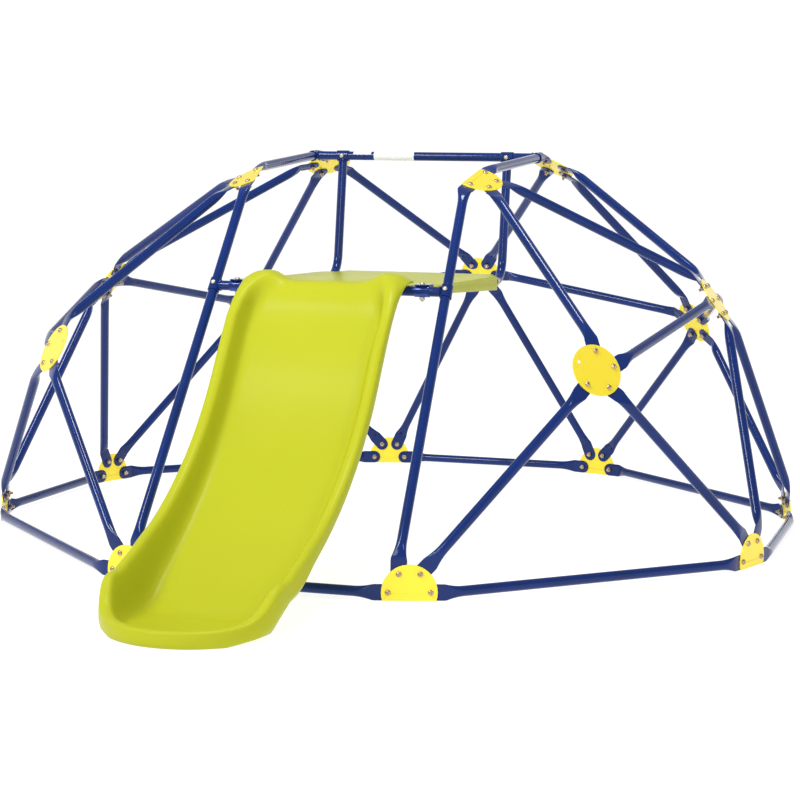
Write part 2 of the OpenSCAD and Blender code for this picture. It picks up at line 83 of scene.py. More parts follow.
def points_of(name):
    mesh = nodes[name].data
    co = np.empty(len(mesh.vertices) * 3, np.float32)
    mesh.vertices.foreach_get("co", co)
    return co.reshape(-1, 3).astype(float)


def solids_of(name):
    """The separate solids of a CAD node, each as an array of its corner points."""
    mesh = nodes[name].data
    welded, where = np.unique(points_of(name).round(5), axis=0, return_inverse=True)
    where = where.ravel()
    parent = list(range(len(welded)))

    def root(i):
        while parent[i] != i:
            parent[i] = parent[parent[i]]
            i = parent[i]
        return i

    for edge in mesh.edges:
        a, b = (root(where[v]) for v in edge.vertices)
        if a != b:
            parent[a] = b
    groups = {}
    for i in range(len(welded)):
        groups.setdefault(root(i), []).append(i)
    return [welded[g] for g in groups.values()]


PLATE_NODES = ["base_plates", "corner_plates", "side_plates", "top_front_plates", "top_back_plates"]
DOME_CENTRE = vec(*(sum(corners("base_plates")) / 2)[:2], FLAT_W / 2)


def thin_way(points):
    """The direction in which a flat solid is thinnest, pointing away from the dome's centre."""
    middle = points.mean(axis=0)
    normal = np.linalg.svd(points - middle, full_matrices=False)[2][2]
    return normal if normal @ (middle - DOME_CENTRE) > 0 else -normal


PLATES = [
    (solid.mean(axis=0), thin_way(solid)) for name in PLATE_NODES for solid in solids_of(name)
]


def bolt_holes():
    """(place in the plate's middle plane, outward direction) of each plate bolt."""
    found = []
    for solid in solids_of("plate_bolts"):
        axis_point = (solid.min(axis=0) + solid.max(axis=0)) / 2
        centre, normal = min(PLATES, key=lambda p: np.linalg.norm(p[0] - axis_point))
        # A turned solid's corner mean lies on its axis.
        place = solid.mean(axis=0)
        found.append((place - ((place - centre) @ normal) * normal, normal))
    return found


HOLES = bolt_holes()

# How far a CAD point may be from a hole's or tube's surface, and from a flat's far corner.
ROUND_SLACK = 0.0004
CORNER_SLACK = 0.0006
FEWEST_HOLE_POINTS = 6


def flat_ends(name):
    """(hole, outward normal, direction) of each flattened end of a CAD tube, in its middle plane."""
    cloud = points_of(name)
    corner = math.hypot(FLAT_LEN, FLAT_W / 2)
    found = []
    for plate_hole, normal in HOLES:
        hole = plate_hole - SHEET * normal
        off = (cloud - hole) @ normal
        flat = cloud - np.outer(off, normal)
        radius = np.linalg.norm(flat - hole, axis=1)
        level = np.abs(off) < SHEET
        if (level & (np.abs(radius - HOLE_R) < ROUND_SLACK)).sum() < FEWEST_HOLE_POINTS:
            continue
        tips = flat[level & (np.abs(radius - corner) < CORNER_SLACK)]
        pairs = ((a, b) for a in tips for b in tips)
        a, b = max(pairs, key=lambda pair: np.linalg.norm(pair[0] - pair[1]))
        found.append((hole, normal, unit((a + b) / 2 - hole)))
    return found


# ---------------------------------------------------------------- materials


def shader_of(material):
    return material.node_tree.nodes["Principled BSDF"]


def principled(name, colour, rough, metallic=0.0, coat=0.0, coat_rough=0.1, specular=0.5):
    material = bpy.data.materials.new(name)
    material.use_nodes = True
    shader = shader_of(material)
    shader.inputs["Base Color"].default_value = (*colour, 1)
    shader.inputs["Roughness"].default_value = rough
    shader.inputs["Metallic"].default_value = metallic
    shader.inputs["Coat Weight"].default_value = coat
    shader.inputs["Coat Roughness"].default_value = coat_rough
    shader.inputs["Specular IOR Level"].default_value = specular
    return material


def noise_node(material, scale, detail=2.0):
    tree = material.node_tree
    place = tree.nodes.new("ShaderNodeTexCoord")
    noise = tree.nodes.new("ShaderNodeTexNoise")
    noise.inputs["Scale"].default_value = scale
    noise.inputs["Detail"].default_value = detail
    tree.links.new(place.outputs["Object"], noise.inputs["Vector"])
    return noise


def add_bump(material, scale, height, detail=2.0):
    """Fine unevenness of the surface: scale in bumps per metre, height in metres."""
    tree = material.node_tree
    noise = noise_node(material, scale, detail)
    bump = tree.nodes.new("ShaderNodeBump")
    bump.inputs["Distance"].default_value = height
    tree.links.new(noise.outputs["Fac"], bump.inputs["Height"])
    tree.links.new(bump.outputs["Normal"], shader_of(material).inputs["Normal"])


def vary(material, socket, low, high, scale):
    """Slow drift of a socket between two values: colours for Base Color, greys for Roughness."""
    tree = material.node_tree
    noise = noise_node(material, scale)
    ramp = tree.nodes.new("ShaderNodeValToRGB")
    ramp.color_ramp.elements[0].position = 0.35
    ramp.color_ramp.elements[1].position = 0.65
    ramp.color_ramp.elements[0].color = (*low, 1)
    ramp.color_ramp.elements[1].color = (*high, 1)
    tree.links.new(noise.outputs["Fac"], ramp.inputs["Fac"])
    tree.links.new(ramp.outputs["Color"], shader_of(material).inputs[socket])


def grey(v):
    return (v, v, v)


# These are for the pieces built here. The plates, saddles, clips and sleeve bolts are CAD nodes that
# stay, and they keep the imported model's own finishes.
BLUE = principled("blue_paint", (0.001, 0.018, 0.13), 0.3, coat=1.0, coat_rough=0.07, specular=0.05)
shader_of(BLUE).inputs["Coat IOR"].default_value = 1.34
vary(BLUE, "Base Color", (0.0008, 0.016, 0.115), (0.0012, 0.020, 0.145), 9.0)
vary(BLUE, "Roughness", grey(0.27), grey(0.34), 45.0)
add_bump(BLUE, 120.0, 0.00003)
LIME = principled("lime_plastic", (0.424, 0.448, 0.0165), 0.34, specular=0.1)
vary(LIME, "Base Color", (0.418, 0.442, 0.016), (0.43, 0.454, 0.017), 3.0)
vary(LIME, "Roughness", grey(0.32), grey(0.35), 20.0)
add_bump(LIME, 160.0, 0.00006, detail=1.0)
ZINC = principled("zinc", (0.46, 0.35, 0.22), 0.3, metallic=1.0)
vary(ZINC, "Base Color", (0.40, 0.28, 0.16), (0.55, 0.46, 0.34), 160.0)
add_bump(ZINC, 700.0, 0.00003)
LABEL = principled("label_film", (0.80, 0.81, 0.82), 0.45, specular=0.3)
vary(LABEL, "Base Color", (0.76, 0.78, 0.80), (0.84, 0.84, 0.84), 40.0)
add_bump(LABEL, 300.0, 0.00005)

MATERIALS = {
    "blue_paint": BLUE,
    "lime_plastic": LIME,
    "zinc": ZINC,
    "label": LABEL,
}


# ---------------------------------------------------------------- mesh building


class Shape:
    """Points and faces of one piece, put together from several closed shells."""

    def __init__(self):
        self.points = []
        self.faces = []

    def add(self, points, faces):
        start = len(self.points)
        self.points += [tuple(p) for p in points]
        self.faces += [tuple(start + i for i in f) for f in faces]

    def rings(self, rings, closed=False):
        self.add([p for r in rings for p in r], loft_faces(len(rings), len(rings[0]), closed))


def piece(name, shape, slot, *replaced, sharp_deg=35.0):
    """One visible piece, smooth except at edges sharper than sharp_deg."""
    mesh = bpy.data.meshes.new(name)
    mesh.from_pydata(shape.points, [], shape.faces)
    mesh.validate()
    mesh.shade_smooth()
    mesh.set_sharp_from_angle(angle=math.radians(sharp_deg))
    obj = bpy.data.objects.new(name, mesh)
    bpy.context.scene.collection.objects.link(obj)
    obj.data.materials.append(MATERIALS[slot])
    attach(obj, "root")
    if replaced:
        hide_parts(*replaced)
    return obj


def loft_faces(rows, count, closed_rows=False):
    """Quads between neighbouring rings of count points, and a face over each open end."""
    faces = []
    for i in range(rows if closed_rows else rows - 1):
        for j in range(count):
            a, b = i * count + j, i * count + (j + 1) % count
            c = ((i + 1) % rows) * count
            faces.append((a, b, c + (j + 1) % count, c + j))
    if not closed_rows:
        faces.append(tuple(range(count - 1, -1, -1)))
        faces.append(tuple(range((rows - 1) * count, rows * count)))
    return faces


def ring_at(centre, side, up, half_w, half_h):
    """Points round a flattened tube: straight flats and round edges of radius half_h."""
    flat = max(half_w - half_h, 0.0)
    turn = (np.arange(RING) + 0.5) * 2 * math.pi / RING
    return [
        centre + (flat * np.sign(math.cos(a)) + half_h * math.cos(a)) * side + half_h * math.sin(a) * up
        for a in turn
    ]


def side_and_up(way, hint):
    side = unit(np.cross(hint, way))
    return side, np.cross(way, side)


def lathe(base, axis, profile, count, hexed=()):
    """Rings of count points round an axis: profile is (radius, height) pairs, hexed the rows with flats."""
    side, up = side_and_up(axis, SKEW)
    rings = []
    for row, (radius, height) in enumerate(profile):
        ring = []
        for j in range(count):
            a = 2 * math.pi * j / count
            r = radius
            if row in hexed:
                r = radius / math.cos((a + math.pi / 6) % (math.pi / 3) - math.pi / 6)
            ring.append(base + height * axis + r * (math.cos(a) * side + math.sin(a) * up))
        rings.append(ring)
    return rings


# Where round a flat end's half-round tip its rings lie, in degrees.
TIP_ANGLES = (88, 75, 62, 48, 34, 18, 0)
# The stretch over which a flat end bends into its tube's line.
TURN_LEN = 0.006
FLARE_RINGS = 9


def end_rings(hole, normal, flat_way, bend, tube_way, flare=FLARE_LEN):
    """Rings of one flattened tube end from its tip to where the tube is round."""
    rings = []
    side = np.cross(normal, flat_way)
    tip_r = FLAT_W / 2
    thick = SHEET / 2
    for a in TIP_ANGLES:
        back = tip_r * math.sin(math.radians(a))
        width = tip_r * math.cos(math.radians(a))
        edge = thick * (0.45 if a == TIP_ANGLES[0] else 1.0)
        rings.append(ring_at(hole - back * flat_way, side, normal, max(width, thick * 1.05), edge))
    rings.append(ring_at(hole + (FLAT_LEN - TURN_LEN) * flat_way, side, normal, tip_r, thick))
    girth = math.pi * 2 * TUBE_R
    for k in np.linspace(0.0, 1.0, FLARE_RINGS):
        along = k * flare
        mix = min(1.0, 0.5 + along / (2 * TURN_LEN))
        way = unit((1 - mix) * flat_way + mix * tube_way)
        across = unit(side - (side @ way) * way)
        half_h = thick + (TUBE_R - thick) * k * (2 - k)
        # The tube's girth stays the same while it opens out.
        half_w = min(half_h + (girth - 2 * math.pi * half_h) / 4, tip_r)
        rings.append(ring_at(bend + along * tube_way, across, np.cross(way, across), half_w, half_h))
    return rings


def join_rings(first, last):
    """Puts the second run of rings in the first one's order and sense, so that the skin isn't twisted."""
    a, b = np.array(first[-1]), np.array(last[0])
    way = unit(b.mean(axis=0) - a.mean(axis=0))
    flat_a = a - a.mean(axis=0)
    flat_b = b - b.mean(axis=0)
    flat_a = flat_a - np.outer(flat_a @ way, way)
    flat_b = flat_b - np.outer(flat_b @ way, way)
    turned = flat_b[::-1]

    def misfit(points, k):
        return np.abs(np.roll(points, -k, axis=0) - flat_a).sum()

    shift = min(range(RING), key=lambda k: misfit(flat_b, k))
    back = min(range(RING), key=lambda k: misfit(turned, k))
    if misfit(flat_b, shift) <= misfit(turned, back):
        return first + [list(np.roll(np.array(r), -shift, axis=0)) for r in last]
    return first + [list(np.roll(np.array(r)[::-1], -back, axis=0)) for r in last]


def round_rings(places, ways, hint):
    """Round rings along a path."""
    return [ring_at(p, *side_and_up(w, hint), TUBE_R, TUBE_R) for p, w in zip(places, ways)]


SLEEVE_SOFT = 0.0009
WELD_SIZE = 0.0022
# Bar ends and weld beads stand off the surface that they meet by this factor of its radius.
STAND_OFF = 1.02


def sleeve(shape, centre, axis):
    """A short welded sleeve with softened edges."""
    half = SLEEVE_LEN / 2
    profile = [
        (TUBE_R, -half + SLEEVE_SOFT),
        (TUBE_R + SLEEVE_SOFT, -half),
        (SLEEVE_R - SLEEVE_SOFT, -half),
        (SLEEVE_R, -half + SLEEVE_SOFT),
        (SLEEVE_R, half - SLEEVE_SOFT),
        (SLEEVE_R - SLEEVE_SOFT, half),
        (TUBE_R + SLEEVE_SOFT, half),
        (TUBE_R, half - SLEEVE_SOFT),
    ]
    shape.rings(lathe(centre, axis, profile, 32), closed=True)


def weld_bead(shape, centre, axis):
    """A rough little fillet of weld round a tube's end."""
    rows, count = 8, 36
    side, up = side_and_up(axis, SKEW)
    rings = []
    for i in range(rows):
        b = 2 * math.pi * i / rows
        ring = []
        for j in range(count):
            a = 2 * math.pi * j / count
            lump = WELD_SIZE * (1 + 0.18 * math.sin(11 * a) + 0.1 * math.sin(23 * a + 1))
            r = TUBE_R + lump * math.cos(b)
            ring.append(centre + lump * math.sin(b) * axis + r * (math.cos(a) * side + math.sin(a) * up))
        rings.append(ring)
    shape.rings(rings, closed=True)


# ---------------------------------------------------------------- tubes and legs

LEG_NODES = ["leg_upper_left", "leg_upper_right", "leg_lower_left", "leg_lower_right"]
# CAD points this near a leg's farthest one belong to its cut end.
LEG_END = 0.003


def bend_of(end):
    hole, _, flat_way = end
    return hole + FLAT_LEN * flat_way


def make_tube(name):
    first, last = flat_ends(name)
    way = unit(bend_of(last) - bend_of(first))
    far_rings = end_rings(*last, bend_of(last), -way)
    shape = Shape()
    shape.rings(join_rings(end_rings(*first, bend_of(first), way), far_rings[::-1]))
    piece(name + "_skin", shape, "blue_paint", name)


def leg_line(name):
    """A leg's flat end, its bend, its direction, and how far along it the tube's full width goes."""
    end = flat_ends(name)[0]
    bend = bend_of(end)
    cloud = points_of(name) - bend
    reach = np.linalg.norm(cloud, axis=1)
    way = unit(cloud[reach > reach.max() - LEG_END].mean(axis=0))
    along = cloud @ way
    off = np.linalg.norm(cloud - np.outer(along, way), axis=1)
    round_part = (np.abs(off - TUBE_R) < ROUND_SLACK) & (along > CAD_FLARE_LEN)
    return end, bend, way, along[round_part].max()


def make_leg(name):
    end, bend, way, length = leg_line(name)
    cut_end = round_rings([bend + length * way], [way], vec(0, 1, 0))
    shape = Shape()
    shape.rings(join_rings(end_rings(*end, bend, way), cut_end))
    piece(name + "_skin", shape, "blue_paint", name)


for tube in [n for n in nodes if "tube" in n or "top_rail" in n]:
    make_tube(tube)
for leg in LEG_NODES:
    make_leg(leg)


# ---------------------------------------------------------------- crossbars and handles

# The upper leg tube ends this far below the crossbar's middle.
LEG_SPLIT = 0.010
# How the handle leans, how the deck falls, and the radius in which the handle turns into its rail.
GRIP_LEAN = math.radians(7.7)
DECK_FALL = math.radians(0.8)
GRIP_BEND = 0.070
GRIP_BEND_STEPS = 14
# The handle's top stops this far short of its sleeve's middle.
GRIP_STOP = 0.008
# Straight stretches of the rail with rings of their own, after its flare and before its bend.
AFTER_FLARE = 0.012
BEFORE_BEND = 0.004
SADDLE = 0.002

BAR_Y, BAR_Z = (sum(corners("rail_saddles")) / 2)[1:]
DECK_FRONT = corners("deck")[0][1]
# The deck's top at its front edge.
DECK_Z = BAR_Z + 0.013
GRIP_LO, GRIP_HI = corners("handle_right")
GRIP_X = (GRIP_LO[0] + GRIP_HI[0]) / 2
GRIP_Y = GRIP_HI[1] - SLEEVE_R
GRIP_Z = GRIP_HI[2] - SLEEVE_R


def leg_joint(name):
    """Where an upper leg passes through the front crossbar, and in which direction."""
    _, bend, way, length = leg_line(name)
    return bend + (length - LEG_SPLIT) * way, way


def rail_joint(name):
    """Where a top rail passes through the back crossbar, and in which direction."""
    first, last = flat_ends(name)
    a, b = bend_of(first), bend_of(last)
    return a + (GRIP_Y - a[1]) / (b[1] - a[1]) * (b - a), unit(b - a)


def make_crossbar(name, left_joint, right_joint):
    """A bar between two welded sleeves, one on each tube that it crosses."""
    left, right = left_joint[0], right_joint[0]
    way = unit(right - left)
    inset = TUBE_R * STAND_OFF
    shape = Shape()
    shape.rings(round_rings([left + inset * way, right - inset * way], [way, way], vec(0, 0, 1)))
    for (place, tube_way), sign in ((left_joint, 1), (right_joint, -1)):
        sleeve(shape, place, tube_way)
        weld_bead(shape, place + sign * SLEEVE_R * STAND_OFF * way, way)
    piece(name + "_skin", shape, "blue_paint", name)


def deck_level(y):
    return DECK_Z - (y - DECK_FRONT) * math.tan(DECK_FALL)


def make_handle(name, sign):
    """A handle with its sleeve, which bends forward and becomes the rail under the deck."""
    x = sign * GRIP_X
    rail_way = vec(0, math.cos(DECK_FALL), -math.sin(DECK_FALL))
    grip_way = vec(0, math.sin(GRIP_LEAN), math.cos(GRIP_LEAN))
    drop = (DECK_SHEET + TUBE_R) / math.cos(DECK_FALL)
    turn = math.pi / 2 - GRIP_LEAN + DECK_FALL
    level = deck_level(0.0) - drop
    knee_y = (GRIP_Y - (GRIP_Z - level) * math.tan(GRIP_LEAN)) / (
        1 + math.tan(GRIP_LEAN) * math.tan(DECK_FALL)
    )
    knee = vec(x, knee_y, deck_level(knee_y) - drop)
    rail_end = knee - GRIP_BEND * math.tan(turn / 2) * rail_way
    over = np.cross(vec(1, 0, 0), rail_way)
    centre = rail_end + GRIP_BEND * over
    hole = vec(x, BAR_Y, BAR_Z + TUBE_R + SADDLE + SHEET / 2)
    flat_way = vec(0, 1, 0)
    bend = hole + FLAT_LEN * flat_way
    start_y = BAR_Y + FLAT_LEN + FLARE_LEN
    start = rail_end + (start_y - rail_end[1]) / rail_way[1] * rail_way
    slope = start - bend
    rings = end_rings(hole, vec(0, 0, 1), flat_way, bend, unit(slope), np.linalg.norm(slope))
    places = [start + AFTER_FLARE * rail_way, rail_end - BEFORE_BEND * rail_way]
    ways = [rail_way, rail_way]
    for i in range(GRIP_BEND_STEPS + 1):
        a = turn * i / GRIP_BEND_STEPS
        places.append(centre + GRIP_BEND * (math.sin(a) * rail_way - math.cos(a) * over))
        ways.append(math.cos(a) * rail_way + math.sin(a) * over)
    grip_top = vec(x, GRIP_Y, GRIP_Z)
    places.append(grip_top - GRIP_STOP * grip_way)
    ways.append(grip_way)
    shape = Shape()
    shape.rings(join_rings(rings, round_rings(places, ways, vec(1, 0, 0))))
    sleeve(shape, grip_top, vec(1, 0, 0))
    weld_bead(shape, grip_top - SLEEVE_R * STAND_OFF * grip_way, grip_way)
    piece(name + "_skin", shape, "blue_paint", name)


make_crossbar("crossbar_front", leg_joint("leg_upper_left"), leg_joint("leg_upper_right"))
make_crossbar("crossbar_back", rail_joint("top_rail_left"), rail_joint("top_rail_right"))
make_handle("handle_left", -1)
make_handle("handle_right", 1)


# ---------------------------------------------------------------- fasteners

HEAD_R = 0.007
HEAD_H = 0.005
SOCKET_R = 0.0021
SOCKET_DEEP = 0.45 * HEAD_H
NUT_FLAT_R = 0.0065  # from the middle to a flat
NUT_H = 0.0065
NUT_CHAMFER = 0.0006
THREADS = 9
THREAD_PITCH = 0.00125
BOLT_TAIL = 0.007  # past the nut
BOLT_LEN = 2 * SHEET + NUT_H + BOLT_TAIL
# A turned solid's ends close on a ring of about this radius.
TINY_R = 0.0002


def dome_head(shape, base, axis):
    """A button head with a hexagonal socket, seated on base."""
    profile = [
        (TINY_R, HEAD_H - SOCKET_DEEP),
        (SOCKET_R, HEAD_H - SOCKET_DEEP),
        (SOCKET_R, HEAD_H - 0.0003),
        (SOCKET_R + 0.0004, HEAD_H),
        (HEAD_R * 0.62, HEAD_H * 0.93),
        (HEAD_R * 0.82, HEAD_H * 0.72),
        (HEAD_R * 0.95, HEAD_H * 0.42),
        (HEAD_R, HEAD_H * 0.14),
        (HEAD_R * 0.98, 0.0),
        (TINY_R + 0.0001, 0.0),
    ]
    shape.rings(lathe(base, axis, profile, 24, hexed=(1, 2)))


def threaded_shank(shape, base, axis):
    """A bolt's shank with ridges over its last stretch, which sticks out of the nut."""
    thread_start = BOLT_LEN - THREADS * THREAD_PITCH
    profile = [(TINY_R, 0.0), (BOLT_R, 0.0), (BOLT_R, -thread_start)]
    for i in range(THREADS):
        down = thread_start + i * THREAD_PITCH
        profile.append((BOLT_R * 0.86, -(down + THREAD_PITCH * 0.3)))
        profile.append((BOLT_R, -(down + THREAD_PITCH * 0.75)))
    profile += [(BOLT_R * 0.72, -BOLT_LEN), (TINY_R, -BOLT_LEN)]
    shape.rings(lathe(base, axis, profile, 20))


def hex_nut(shape, base, axis):
    """A chamfered nut that hangs down from base."""
    profile = [
        (BOLT_R, 0.0),
        (NUT_FLAT_R * 0.97, 0.0),
        (NUT_FLAT_R, -NUT_CHAMFER),
        (NUT_FLAT_R, -NUT_H + NUT_CHAMFER),
        (NUT_FLAT_R * 0.95, -NUT_H),
        (BOLT_R * 1.12, -NUT_H),
        (BOLT_R, -NUT_H + 0.0004),
    ]
    shape.rings(lathe(base, axis, profile, 24, hexed=(2, 3)), closed=True)


def make_plate_fasteners():
    bolts, nuts = Shape(), Shape()
    for hole, normal in HOLES:
        seat = hole + SHEET / 2 * normal
        dome_head(bolts, seat, normal)
        threaded_shank(bolts, seat, normal)
        hex_nut(nuts, seat - 2 * SHEET * normal, normal)
    piece("plate_bolts_detail", bolts, "zinc", "plate_bolts")
    piece("plate_nuts_detail", nuts, "zinc", "plate_nuts")


make_plate_fasteners()


def soften(obj, width, angle_deg=40.0, merge=0.00001):
    """Rounds the edges that are sharper than the angle, without touching the mesh itself."""
    weld = obj.modifiers.new("weld", "WELD")
    weld.merge_threshold = merge
    bevel = obj.modifiers.new("soft_edges", "BEVEL")
    bevel.width = width
    bevel.segments = 2
    bevel.limit_method = "ANGLE"
    bevel.angle_limit = math.radians(angle_deg)


for kept_node in PLATE_NODES + ["deck_clips"]:
    soften(nodes[kept_node], 0.0006)
for kept_node in ("rail_saddles", "sleeve_bolts"):
    soften(nodes[kept_node], 0.0004)


# ---------------------------------------------------------------- slide

SLIDE_HALF = 0.213
FOOT_START = -1.460
FOOT_LEN = 0.230
# The tables below count y from the dome's centre.
DOME_Y = corners("slide")[0][1] - (FOOT_START - FOOT_LEN)
FOOT_BED = 0.012
FOOT_LIP = 0.037
FOOT_RISE = 0.075
# How far round the foot (degrees) the walls are half way down to the lip, and where the section
# is the lip's own.
LIP_DROP = 24
LIP_TURN = 50
FOOT_STEP = 5
# Rows and columns of the smooth skin for each one in the tables, and quads across the bed.
FINER = 3
BED_COLUMNS = 8

# Side view from the top down, in millimetres: rim y z, bed y z, underside y z, and the section,
# from -1 at the top through 0 on the way down to 1 where it levels out.
STATIONS = [
    (-588, 731, -590, 708, -590, 704, -1),
    (-614, 733, -615, 709, -614, 704, -1),
    (-642, 731, -640, 706, -636, 700, -1),
    (-674, 716, -664, 688, -658, 682, -0.6),
    (-707, 695, -684, 664, -676, 657, -0.25),
    (-742, 664, -702, 634, -693, 627, 0),
    (-829, 560, -787, 526, -777, 518, 0),
    (-910, 446, -866, 412, -856, 404, 0),
    (-1000, 349, -959, 306, -950, 297, 0.3),
    (-1120, 256, -1085, 200, -1078, 190, 0.6),
    (-1240, 190, -1214, 116, -1208, 105, 1),
    (-1320, 160, -1303, 66, -1299, 53, 1),
    (-1370, 140, -1363, 29, -1362, 14, 1),
    (-1410, 127, -1408, 14, -1408, 0, 1),
    (-1460, 112, -1460, 12, -1460, 0, 1),
]
# Half section from the bed's edge over the rim to the underside's edge: depth and inset (mm) at
# the top, on the way down, where it levels out and at the lip. Depth is 0 at the rim, 1 at the
# bed, 2 underneath.
SKIN = [
    (1, 122, 1, 74, 1, 72, 1, 70),
    (0.9, 108, 0.97, 58, 0.96, 57, 0.95, 58),
    (0.68, 94, 0.88, 47, 0.84, 47, 0.75, 46),
    (0.4, 80, 0.62, 39, 0.6, 39, 0.45, 37),
    (0.15, 68, 0.3, 33, 0.28, 33, 0.15, 29),
    (0.03, 58, 0.08, 27, 0.07, 27, 0.03, 22),
    (0, 48, 0, 18, 0, 18, 0, 15),
    (0.06, 34, 0.01, 9, 0.02, 8, 0.02, 8),
    (0.22, 20, 0.07, 3, 0.09, 2, 0.1, 2.5),
    (0.5, 7, 0.18, 0, 0.22, 0, 0.25, 0.5),
    (0.95, -5, 0.6, 2, 0.46, 3, 1.3, 1),
    (1.3, 4, 0.7, 11, 0.62, 20, 1.85, 5),
    (1.8, 40, 1.3, 34, 1, 52, 2, 12),
    (2, 80, 2, 60, 2, 66, 2, 26),
]


def skin_at(row, w):
    """Depth and inset (m) of one skin point for section w, from -1 to 2."""
    a = min(2, math.floor(w) + 1)
    low, high = vec(*row[2 * a : 2 * a + 2]), vec(*row[2 * a + 2 : 2 * a + 4])
    depth, inset = low + (w + 1 - a) * (high - low)
    return depth, inset / 1000


def at_depth(rim, bed, under, k):
    return rim + k * (bed - rim) if k <= 1 else bed + (k - 1) * (under - bed)


def upper_row(station):
    *side, w = station
    rim, bed, under = (vec(*side[i : i + 2]) / 1000 for i in (0, 2, 4))
    row = []
    for skin in SKIN:
        depth, inset = skin_at(skin, w)
        y, z = at_depth(rim, bed, under, depth)
        row.append((SLIDE_HALF - inset, y, z))
    return row


def foot_row(turn):
    """Right half of the foot's section at turn: 0 where the foot begins, 90 degrees at its tip."""
    c, s = math.cos(math.radians(turn)), math.sin(math.radians(turn))
    out = unit(vec(FOOT_LEN * c, -SLIDE_HALF * s))
    rim = FOOT_LIP + FOOT_RISE / (1 + (turn / LIP_DROP) ** 4)
    row = []
    for skin in SKIN:
        depth, inset = skin_at(skin, min(2.0, 1 + turn / LIP_TURN))
        x = 0.0 if turn == 90 else SLIDE_HALF * c - inset * out[0]
        y = FOOT_START - FOOT_LEN * s - inset * out[1]
        row.append((x, y, at_depth(rim, FOOT_BED, 0.0, depth)))
    return row


def smooth_rows(rows):
    """Rows on a smooth surface through the given rows, FINER steps between neighbours."""
    p = np.array(rows)
    gap = np.linalg.norm(p[1:] - p[:-1], axis=2).mean(axis=1)[:, None, None]
    step = (p[1:] - p[:-1]) / gap
    slope = np.concatenate(
        [
            step[:1],
            (step[1:] * gap[:-1] + step[:-1] * gap[1:]) / (gap[1:] + gap[:-1]),
            step[-1:],
        ]
    )
    found = []
    for i in range(len(p) - 1):
        for k in np.arange(FINER) / FINER:
            found.append(
                (1 + 2 * k) * (1 - k) ** 2 * p[i]
                + k * (1 - k) ** 2 * gap[i] * slope[i]
                + k * k * (3 - 2 * k) * p[i + 1]
                + k * k * (k - 1) * gap[i] * slope[i + 1]
            )
    return np.array(found + [p[-1]])


def slide_rows():
    """Right half of the slide's skin, one smooth row after another from its top to its foot's tip."""
    foot = [foot_row(turn) for turn in range(FOOT_STEP, 91, FOOT_STEP)]
    right = np.array([upper_row(station) for station in STATIONS] + foot)
    # The left half goes on from the tip, so that the smoothing sees no end there.
    both = np.concatenate([right, (right * vec(-1, 1, 1))[-2::-1]])
    dense = smooth_rows(both)
    dense = dense[: (len(dense) + 1) // 2]
    dense[-1][:, 0] = 0.0
    across = smooth_rows(dense.transpose(1, 0, 2)).transpose(1, 0, 2)
    across[:, :, 2] = np.maximum(across[:, :, 2], 0.0)
    return across + vec(0, DOME_Y, 0)


def end_cap(skin, count):
    """Quads over the open top end, between the points of the upper skin and those under them."""
    left = skin + BED_COLUMNS - 1
    faces = []
    # A ring runs: right skin from underneath to the bed, the bed, left skin, the underside.
    for i in range(skin // 2 - 1):
        a, b = skin - 1 - i, i
        faces.append((a, b, b + 1, a - 1))
        c, d = left + i, left + skin - 1 - i
        faces.append((d, c, c + 1, d - 1))
    bed = list(range(skin - 1, left + 1))
    under = [0] + list(range(count - 1, left + skin - 2, -1))
    for i in range(BED_COLUMNS):
        faces.append((bed[i + 1], under[i + 1], under[i], bed[i]))
    return faces


def make_slide():
    rows = slide_rows()
    between = np.arange(1, BED_COLUMNS) / BED_COLUMNS
    rings = []
    for row in rows:
        mirror = row * vec(-1, 1, 1)
        bed = [row[0] + k * (mirror[0] - row[0]) for k in between]
        under = [mirror[-1] + k * (row[-1] - mirror[-1]) for k in between]
        rings.append(list(row[::-1]) + bed + list(mirror) + under)
    count = len(rings[0])
    # The tip's ring is flat and needs no face, and the top end has a cap of quads.
    faces = loft_faces(len(rings), count)[:-2]
    faces += end_cap(len(rows[0]), count)
    shape = Shape()
    shape.add([p for r in rings for p in r], faces)
    obj = piece("slide_moulding", shape, "lime_plastic", "slide", sharp_deg=50.0)
    soften(obj, 0.0012, angle_deg=55.0, merge=0.00002)


make_slide()


# ---------------------------------------------------------------- deck

DECK_HALF = 0.266
DECK_TAIL_HALF = 0.226
DECK_NOSE = 0.668
DECK_LEN = 0.778
DECK_ROUND = 0.020
NOSE_ROUND = 0.034
DECK_NOTCH = (0.223, 0.046)
DECK_EDGE = 0.009
OUTLINE_STEP = 0.025
SKIRT_FRONT = 0.022
SKIRT_BACK = 0.042
# The skirt is only this deep along the front edge, and where the rails pass under the shoulders.
SKIRT_SHORT = DECK_EDGE + 0.002
FRONT_ROOM = 0.005
SHOULDER_ROOM = 0.024
RAIL_ROOM = 0.001
# The skirt's rounded lower edge, from outside to inside: inward, and up from its lowest line.
SKIRT_EDGE = [(0.0, 0.0015), (0.0006, 0.0004), (0.0020, 0.0), (0.0034, 0.0004), (DECK_SHEET, 0.0015)]
SHEET_FILLET = 0.002
RIBS = (0.180, 0.380, 0.580)
RIB_HALF = 0.215
RIB_TOP = -DECK_SHEET + 0.001
RIB_FOOT = -0.020


